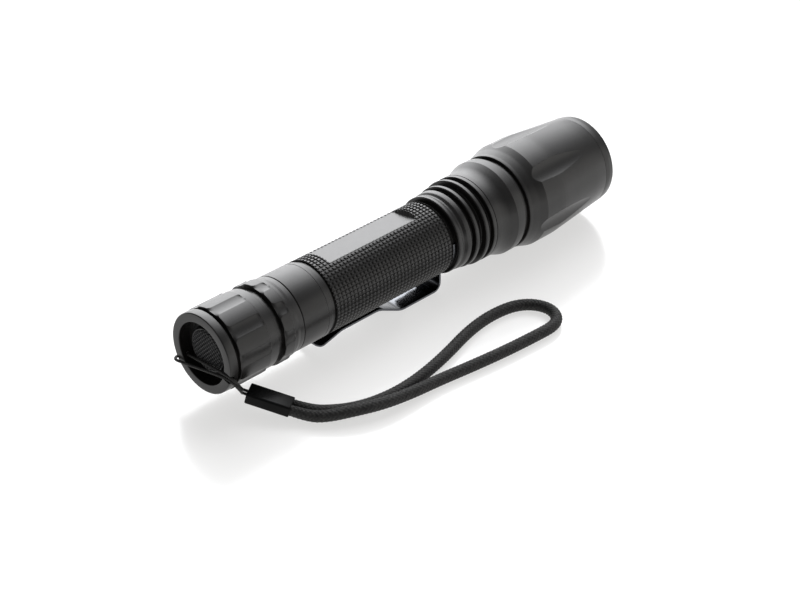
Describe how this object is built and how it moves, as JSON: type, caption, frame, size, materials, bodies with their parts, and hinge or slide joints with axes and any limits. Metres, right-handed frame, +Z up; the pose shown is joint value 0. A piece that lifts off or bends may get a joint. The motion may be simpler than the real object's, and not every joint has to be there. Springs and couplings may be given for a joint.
{
  "type": "tactical flashlight",
  "caption": "Black aluminium hand torch with sliding zoom head, cooling fins, knurled grip, fluted tail cap with push button, belt clip and wrist lanyard.",
  "frame": {"origin": "on the surface the torch rests on, below the middle of its length and its axis", "axes": "+X along the torch's axis, from the tail cap to the lens; +Z up; the belt clip is underneath and the lanyard lies on the -Y side"},
  "size_m": [0.2199, 0.0864, 0.0462],
  "materials": {
    "black_anodised_aluminium": "satin black anodised",
    "clip_steel": "glossy black coated spring steel",
    "button_rubber": "matt black, fine mesh texture",
    "seal_rubber": "smooth black",
    "cord_fabric": "fine black braid",
    "crimp_plastic": "glossy black",
    "lens_glass": "clear, polished",
    "cell_can": null,
    "brass_contact": "bright",
    "bright_steel": "bright wire and screws",
    "pill_aluminium": "bare turned",
    "board_laminate": "green laminate",
    "star_board": "white masked metal-core board",
    "component_plastic": "moulded dark grey",
    "switch_plastic": "moulded black",
    "wire_cover": "red wire cover",
    "led_phosphor": "yellow emitter",
    "led_silicone": "clear dome"
  },
  "bodies": {
    "torch": {"battery_tube": "black_anodised_aluminium", "finned_neck": "black_anodised_aluminium", "battery_rear": "cell_can", "battery_rear_terminal": "bright_steel", "battery_front": "cell_can", "battery_front_terminal": "bright_steel", "tail_o_ring": "seal_rubber", "front_contact": "brass_contact", "driver_board": "board_laminate", "driver_inductor": "component_plastic", "driver_chip": "component_plastic", "led_pill": "pill_aluminium", "led_leads": "wire_cover", "led_star_board": "star_board", "star_screws": "bright_steel", "led_package": "led_phosphor", "led_dome": "led_silicone", "head_stop_ring": "switch_plastic", "slide_o_ring": "seal_rubber"},
    "head": {"zoom_head": "black_anodised_aluminium", "lens": "lens_glass", "lens_gasket": "seal_rubber", "bezel_ring": "black_anodised_aluminium"},
    "tail": {"tail_cap": "black_anodised_aluminium", "boot_skirt": "seal_rubber", "switch_body": "switch_plastic", "switch_board": "board_laminate", "switch_retaining_ring": "pill_aluminium", "tail_spring": "bright_steel", "lanyard_thin_loop": "cord_fabric", "lanyard_crimp": "crimp_plastic", "lanyard_cord": "cord_fabric"},
    "button": {"switch_boot": "button_rubber", "switch_plunger": "switch_plastic"},
    "clip": {"clip_band": "clip_steel"},
    "arm": {"clip_arm": "clip_steel"}
  },
  "joints": [
    {"name": "head_zoom", "type": "slide", "parent": "torch", "child": "head", "axis": [1, 0, 0], "range_m": [0, 0.009]},
    {"name": "tail_off", "type": "slide", "parent": "torch", "child": "tail", "axis": [-1, 0, 0], "range_m": [0, 0.03]},
    {"name": "button_press", "type": "slide", "parent": "tail", "child": "button", "axis": [1, 0, 0], "range_m": [0, 0.0016], "stiffness_N_per_m": 1800, "springref_m": -0.001},
    {"name": "clip_turn", "type": "hinge", "parent": "torch", "child": "clip", "pos_m": [0.0135, 0, 0.0231], "axis": [1, 0, 0], "continuous": true},
    {"name": "clip_spring", "type": "hinge", "parent": "clip", "child": "arm", "pos_m": [0.0135, 0, 0.0043], "axis": [0, -1, 0], "range_deg": [0, 4], "stiffness_Nm_per_rad": 18, "springref_deg": -1.15}
  ]
}
